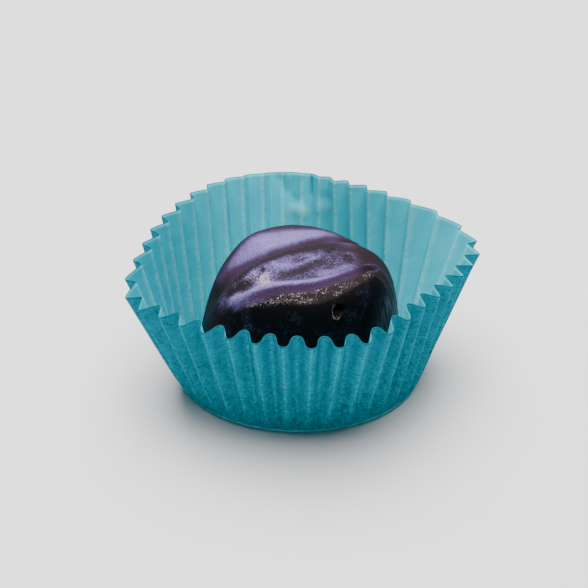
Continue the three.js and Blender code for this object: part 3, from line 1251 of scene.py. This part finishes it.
    violet_marks: tuple[Stroke, ...] = (
        Stroke(((4.5, 4.4), (5.8, 3.2), (6.6, 1.6)), 1.4, 0.9, 0.3),
        Stroke(((-9, -0.6), (-7, -1.6), (-6, -3)), 1.4, 0.4, 0.3),
        Stroke(((2.5, -8.4), (5.5, -6.5), (7.5, -4.8)), 0.7, 0.6, 0.3),
        Stroke(((-8.8, -7.4), (-7.5, -8.1), (-6, -8.8), (-4.5, -9.7)), 0.5, 0.7, 0.2),
    )
    brown_marks: tuple[Stroke, ...] = (
        Stroke(((-9.2, -5.6), (-7.5, -5.9), (-6, -5.9)), 0.7, 0.7, 0.2),
        Stroke(((-4, -1), (-1, 0.6), (1.2, 2.2)), 1.0, 0.6, 0.2),
        Stroke(((8.6, 0.5), (8.2, -2)), 0.9, 0.7, 0.3),
    )
    # Gold patches. The long streak just behind the front edge is a painted highlight: the light that
    # the edge's upper lip catches, laid on in gold.
    gilt_and_highlight_marks: tuple[Stroke, ...] = (
        Stroke(((-4.8, -5.4), (-4.6, -6.7), (-3.9, -8.2)), 1.1, 0.9, 0.2),
        Stroke(((-7.4, -8.8), (-5, -10.2), (-3, -10.9), (0, -11.2), (3.2, -10.9)), 0.4, 0.5),
        Stroke(((5, -9.6), (6.3, -8.4), (7, -7.2)), 0.45, 0.3),
        Stroke(((-9.2, -6.8), (-7.4, -7.6), (-5, -8.6)), 0.8, 0.42, 0.2),
        Stroke(((-9, -5), (-7.2, -5.2), (-5.6, -5.4)), 0.8, 0.3, 0.2),
    )
    small_folds: tuple[Stroke, ...] = (
        Stroke(((-4.3, -4.1), (-4.8, -5.3), (-5.7, -6)), 0.16, -0.16),
        Stroke(((-8.2, -5), (-6.6, -4.9), (-5.9, -5.5)), 0.2, -0.15),
        Stroke(((8.2, -4.5), (9.6, -3.2), (10.6, -1.4)), 0.22, 0.15),
        Stroke(((8.7, -5.3), (9.9, -3.9), (10.5, -2.4)), 0.22, 0.13),
        Stroke(((2.2, -0.6), (3.4, -0.4), (4.4, 0.4)), 0.3, 0.18),
        Stroke(((5.9, -0.7), (6.3, -2.6)), 0.25, -0.16),
    )
    columns: int = 400
    side_rows: int = 210
    foot_rows: int = 5
    finish: DustedChocolate = field(default_factory=DustedChocolate)

    def shoulder(self, azimuth: np.ndarray) -> np.ndarray:
        """How square the shoulder is: the given values, joined by half cosine waves.

        Args:
            azimuth: Directions in plan, in radians.

        Returns:
            The squareness in each.
        """
        place = (azimuth / (2 * np.pi)) % 1 * len(self.shoulders)
        before = np.floor(place).astype(int) % len(self.shoulders)
        values = np.array(self.shoulders)
        after = values[(before + 1) % len(values)]
        share = 0.5 - 0.5 * np.cos(np.pi * (place - np.floor(place)))
        return values[before] + (after - values[before]) * share

    def reach(self, azimuth: np.ndarray) -> np.ndarray:
        """Distance of the outline from its centre: a superellipse with four reaches.

        Args:
            azimuth: Directions in plan, in radians.

        Returns:
            The distance in each, in millimetres.
        """
        x = np.cos(azimuth) / np.where(np.cos(azimuth) > 0, self.right, self.left)
        y = np.sin(azimuth) / np.where(np.sin(azimuth) > 0, self.back, self.front)
        power = self.outline_squareness
        return (np.abs(x) ** power + np.abs(y) ** power) ** (-1 / power)

    def folds(self, x: np.ndarray, y: np.ndarray) -> np.ndarray:
        """Height of the long and the small folds above the plain dome."""
        return sum(fold.height_at(x, y) for fold in self.long_folds) + strokes(self.small_folds, x, y)

    def dome_point(self, azimuth: np.ndarray, climb: np.ndarray) -> np.ndarray:
        """A point of the dome: superellipses stood up on the outline, with the folds added.

        Args:
            azimuth: Direction in plan, in radians.
            climb: Angle above the foot, in radians.

        Returns:
            Points, in millimetres.
        """
        power = self.shoulder(azimuth)
        cosine, sine = np.maximum(np.cos(climb), 0), np.sin(climb)
        reach = (cosine**power + sine**power) ** (-1 / power)
        radius = self.reach(azimuth) * reach * cosine
        x = self.centre[0] + radius * np.cos(azimuth)
        y = self.centre[1] + radius * np.sin(azimuth)
        begun = smooth_rise(self.folds_start, self.folds_full, np.degrees(climb))
        z = self.foot_height + self.height * reach * sine + self.folds(x, y) * begun
        return np.stack([x, y, z], -1)

    def foot_point(self, azimuth: np.ndarray, share: float) -> np.ndarray:
        """A point of the rounded bottom edge: a quarter circle from foot to side.

        Args:
            azimuth: Direction in plan, in radians.
            share: 0 on the foot, and 1 at the side.

        Returns:
            Points, in millimetres.
        """
        turn = share * np.pi / 2
        radius = self.reach(azimuth) - self.foot_rounding * (1 - np.sin(turn))
        z = self.foot_height + self.foot_rounding * (1 - np.cos(turn))
        return np.stack(
            [
                self.centre[0] + radius * np.cos(azimuth),
                self.centre[1] + radius * np.sin(azimuth),
                np.full_like(azimuth, z),
            ],
            -1,
        )

    def burst(self, points: np.ndarray) -> tuple[np.ndarray, np.ndarray]:
        """Sink the burst bubble into the side: half an ellipsoid within a wavy edge, and a lip.

        Args:
            points: The surface's points.

        Returns:
            The points moved, and a mask of the bubble's edge, strongest at its left.
        """
        azimuth = np.radians(self.bubble_azimuth)
        centre = self.dome_point(np.array(azimuth), np.radians(np.array(self.bubble_climb)))
        away = np.array([np.cos(azimuth), np.sin(azimuth), 0])
        across = np.array([-np.sin(azimuth), np.cos(azimuth), 0])
        offset = points - centre
        right, up = offset @ across, offset[..., 2]
        angle = np.arctan2(up, right)
        edge = np.ones_like(angle)
        for lobes, (size, turn) in enumerate(self.bubble_waves, start=2):
            edge += size * np.cos(lobes * angle - turn)
        near = np.hypot(right, up) / (self.bubble_radius * edge)
        in_front = offset @ away > -self.bubble_reach
        sunk = np.where(in_front, np.sqrt(np.maximum(1 - near**2, 0)), 0)
        lip = np.where(in_front, bell(near - self.lip_place, self.lip_width), 0)
        lip = lip * (self.lip_mean - self.lip_swing * np.cos(angle - self.lip_turn))
        moved = points - away * (sunk * self.bubble_depth)[..., None]
        return moved + away * (lip * self.lip_height)[..., None], lip

    def build(self) -> bpy.types.Object:
        """Make the truffle as one closed skin, with the dust measures that its finish reads.

        Returns:
            The truffle.
        """
        azimuth = 2 * np.pi * np.arange(self.columns) / self.columns
        foot = [self.foot_point(azimuth, row / self.foot_rows) for row in range(self.foot_rows + 1)]
        climb = np.linspace(0, np.pi / 2, self.side_rows + 1)[1:-1, None]
        side = self.dome_point(*np.broadcast_arrays(azimuth, climb))
        surface, lip = self.burst(np.concatenate([np.stack(foot), side]))
        rows = len(surface)
        crown = self.dome_point(np.array(0.0), np.array(np.pi / 2))
        floor = np.array([*self.centre, self.foot_height])
        points = np.concatenate([surface.reshape(-1, 3), floor[None], crown[None]])
        faces = [
            grid_faces(rows, self.columns),
            cap_faces(self.columns, 0, rows * self.columns)[:, ::-1],
            cap_faces(self.columns, (rows - 1) * self.columns, rows * self.columns + 1),
        ]
        attributes = self.measures(points)
        attributes["gilt"] = np.maximum(attributes["gilt"], np.append(lip.ravel(), [0, 0]))
        truffle = mesh_piece("dusted_truffle", points, faces, attributes, self.finish.material())
        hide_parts("truffle")
        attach(truffle, "root")
        return truffle

    def violet(self, x: np.ndarray, y: np.ndarray) -> np.ndarray:
        """Violet along both sides of the back ridge and in single marks, and in front of the crest,
        where it is partly painted shade on the crest's front slope.

        Args:
            x: The places' x.
            y: The places' y.

        Returns:
            The strength there.
        """
        ridge = glow(self.ridge_low, self.ridge_low_glow, x, y)
        ridge = ridge + glow(self.ridge_high, self.ridge_high_glow, x, y)
        ridge = ridge * smooth_rise(*self.ridge_violet_right, x)
        # The plum band in front of the crest: violet tint, partly painted shade on the crest's front
        # slope.
        plum_shade = glow(self.front_crest, self.plum_shade_band, x, y)
        plum_shade = plum_shade * smooth_rise(*self.plum_left, x) * smooth_rise(*self.plum_right, x)
        return strokes(self.violet_marks, x, y) + ridge + plum_shade

    def measures(self, points: np.ndarray) -> dict[str, np.ndarray]:
        """What the finish reads: how much there is of each layer, and how mottled the dust is.

        Args:
            points: The surface's points.

        Returns:
            A mask for each, by name.
        """
        x, y, z = points.T
        on_top = smooth_rise(*self.top_height, z)
        from_edge = y - curve_through(self.front_edge, x)
        middle = self.plateau.cover(x, y)
        line = self.crest_line.cover(x, y)
        level = self.plateau_dust * middle + self.crest_dust * line
        level = level * smooth_rise(*self.plateau_right, x)
        marks = strokes(self.edge_marks, x, y) * smooth_rise(*self.edge_marks_front, from_edge)
        marks = marks + strokes(self.dust_marks, x, y) * middle
        band = self.brown_band.cover(x, y)
        band = band * (1 - self.band_loss * smooth_rise(*self.band_weaker, x))
        brown = np.minimum(band + strokes(self.brown_marks, x, y), 1)
        nose = smooth_rise(*self.nose_right, x) * smooth_rise(*self.nose_back, y)
        (spot_y, spot_z), (half_width, half_height) = self.right_spot, self.right_spot_size
        spot = bell(np.hypot((y - spot_y) / half_width, (z - spot_z) / half_height), 1)
        spot = spot * smooth_rise(*self.right_spot_left, x)
        leftward = self.film_faint + (1 - self.film_faint) * smooth_rise(*self.film_right, x)
        leftward = leftward * smooth_rise(*self.film_left, x)
        left_end = smooth_rise(*self.left_end_right, x) * smooth_rise(*self.left_end_height, z)
        left_end = self.left_end_brown * left_end
        ridge = self.ridge_dust * self.dusted_ridge.cover(x, y)
        uneven = np.maximum(middle * (1 - self.crest_evenness * line), nose) * on_top
        return {
            "dust": np.maximum((level + marks) * on_top + self.spot_dust * spot, ridge),
            "mottle": self.even_mottle + (1 - self.even_mottle) * uneven,
            "violet": np.maximum(self.violet(x, y) * on_top, spot * self.spot_violet),
            "brown": brown * on_top + left_end,
            # gold patches, and a painted highlight behind the front edge
            "gilt": strokes(self.gilt_and_highlight_marks, x, y) * on_top,
            "film": (1 - on_top * smooth_rise(*self.film_fade, from_edge)) * leftward,
            "veil": np.maximum(on_top * smooth_rise(*self.veil_front, from_edge), left_end),
            # the right side's streaks, partly a painted reflection
            "slate_and_reflection": smooth_rise(*self.slate_left, x) * smooth_rise(*self.slate_height, z),
        }


# ---- Floor, light and camera ----


@dataclass(frozen=True)
class SoftLight:
    """A rectangular light, with its place and sizes in millimetres."""

    name: str
    place: tuple[float, float, float]
    width: float
    height: float
    watts: float

    def build(self, target: Vector) -> None:
        """Make the light and turn it to a target.

        Args:
            target: What it is aimed at, in metres.
        """
        data = bpy.data.lights.new(self.name, "AREA")
        data.shape = "RECTANGLE"
        data.size = self.width * MM
        data.size_y = self.height * MM
        data.energy = self.watts
        light = bpy.data.objects.new(self.name, data)
        light.location = Vector(self.place) * MM
        light.rotation_euler = (target - light.location).to_track_quat("-Z", "Y").to_euler()
        bpy.context.scene.collection.objects.link(light)


@dataclass
class Studio:
    """A pale floor, soft light from above and behind, and a camera in front and above.

    Sizes and places are in millimetres, the camera's sensor and focal length among them.
    """

    camera_place: tuple[float, float, float] = (0, -285.8, 165)
    camera_aim: tuple[float, float, float] = (-0.7, 5.3, 9.1)
    camera_sight: float = 20000
    focal_length: float = 150.1
    sensor_width: float = 36
    floor_half: float = 3000
    floor_colour: Colour = (0.73, 0.71, 0.722)
    stain_colour: Colour = (0.66, 0.63, 0.6)
    stain_grain: float = 60
    stain_share: float = 0.05
    floor_roughness: float = 0.7
    sky: Colour = (1.0, 0.99, 0.98)
    sky_strength: float = 0.05
    window: SoftLight = SoftLight("window", (-10, 120, 660), width=640, height=1040, watts=21.8)
    window_aim: tuple[float, float, float] = (0, 0, 10)

    def floor(self) -> None:
        """Make the pale floor, just under the case."""
        tree = NodeTree("pale_table")
        stains = tree.noise(tree.place(), self.stain_grain, 4, 0.6).rise(0.3, 0.7)
        colour = tree.blend(stains * self.stain_share, self.floor_colour, self.stain_colour)
        inputs = {"Base Color": colour, "Roughness": self.floor_roughness}
        tree.surface(tree.node("ShaderNodeBsdfPrincipled", None, inputs))
        half = self.floor_half
        corners = np.array([[-half, -half, 0], [half, -half, 0], [half, half, 0], [-half, half, 0]])
        floor = mesh_piece("table", corners, [np.array([[0, 1, 2, 3]])], {}, tree.material)

    def world(self) -> None:
        """An even sky all round."""
        world = bpy.data.worlds.new("sky")
        world.use_nodes = True
        background = world.node_tree.nodes["Background"]
        background.inputs["Color"].default_value = (*self.sky, 1)
        background.inputs["Strength"].default_value = self.sky_strength
        bpy.context.scene.world = world

    def camera(self) -> None:
        """Make the camera, aim it, and give it to the scene."""
        data = bpy.data.cameras.new("camera")
        data.lens = self.focal_length
        data.sensor_width = self.sensor_width
        data.clip_end = self.camera_sight * MM
        camera = bpy.data.objects.new("camera", data)
        camera.location = Vector(self.camera_place) * MM
        aim = Vector(self.camera_aim) * MM
        camera.rotation_euler = (aim - camera.location).to_track_quat("-Z", "Y").to_euler()
        bpy.context.scene.collection.objects.link(camera)
        bpy.context.scene.camera = camera

    def build(self) -> None:
        """Set up everything round the object."""
        self.floor()
        self.world()
        self.camera()
        self.window.build(Vector(self.window_aim) * MM)


def main() -> None:
    """Build the object's pieces, then what stands round it."""
    logging.basicConfig(level=logging.INFO, format="%(name)s: %(message)s")
    builders: tuple[Callable[[], bpy.types.Object], ...] = (PaperCase().build, Truffle().build)
    for build in builders:
        piece = build()
        log.info("%s: %d faces", piece.name, len(piece.data.polygons))
    Studio().build()


if __name__ == "__main__":
    main()
